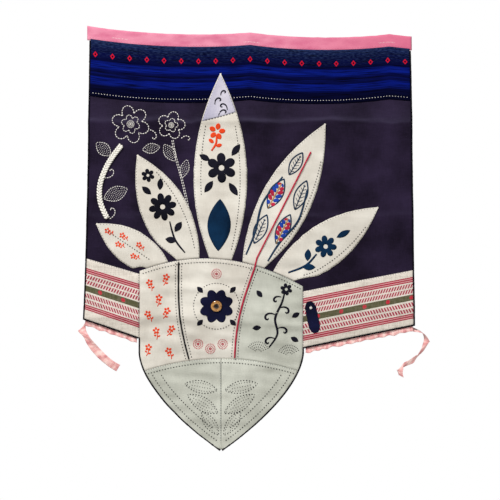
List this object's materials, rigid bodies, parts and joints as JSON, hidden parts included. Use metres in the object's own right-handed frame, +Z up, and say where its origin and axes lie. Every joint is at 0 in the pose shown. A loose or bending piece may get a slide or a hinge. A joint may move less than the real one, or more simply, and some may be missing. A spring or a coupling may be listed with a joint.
{
  "type": "textile wall hanging",
  "caption": "Patchwork cloth wall hanging with an indigo band, woven striped borders, an applique flower, a pointed pennant at the hem and ribbon ties.",
  "frame": {"origin": "middle of the heading's top edge, where the cloth touches the wall", "axes": "+X to the right of a person who faces the hanging, +Y into the wall, +Z up"},
  "size_m": [0.6278, 0.028, 0.762],
  "materials": {
    "tape": "pink cotton twill tape, matt",
    "indigo": "indigo handwoven cotton with a row of small red diamonds, matt",
    "ground": "dark aubergine plain-weave cotton, matt, with soft storage creases",
    "stripe": "ecru cotton with woven crimson lines, slanted ticks and an olive stripe, matt",
    "cream": "cream cotton, soft sheen, printed and embroidered",
    "grey": "pale grey cotton, matt",
    "navy": "dark navy cotton, matt",
    "black": "black cotton cord, matt",
    "red": "crimson couched cotton cord",
    "white": "white couched cotton braid",
    "ribbon": "pink satin ribbon with a soft sheen",
    "horn": "polished amber-coloured horn"
  },
  "bodies": {
    "root": {"heading_tape": "tape", "indigo_band": "indigo", "ground_cloth": "ground", "border_left": "stripe", "border_right": "stripe", "gore_left": "cream", "gore_middle": "cream", "gore_right": "grey", "pennant_left": "grey", "pennant_right": "grey", "petal_1": "cream", "petal_2": "cream", "petal_3": "cream", "petal_4": "cream", "petal_5": "cream", "piping_left_side": "black", "piping_right_side": "black", "piping_left_hem": "black", "piping_right_hem": "black", "piping_pennant_left": "black", "piping_pennant_right": "black", "black_cord": "black", "red_cord": "red", "braid_stem": "white", "rosette": "navy", "button": "horn", "tab_right": "navy", "ribbon_left": "ribbon", "ribbon_right": "ribbon"}
  },
  "joints": []
}
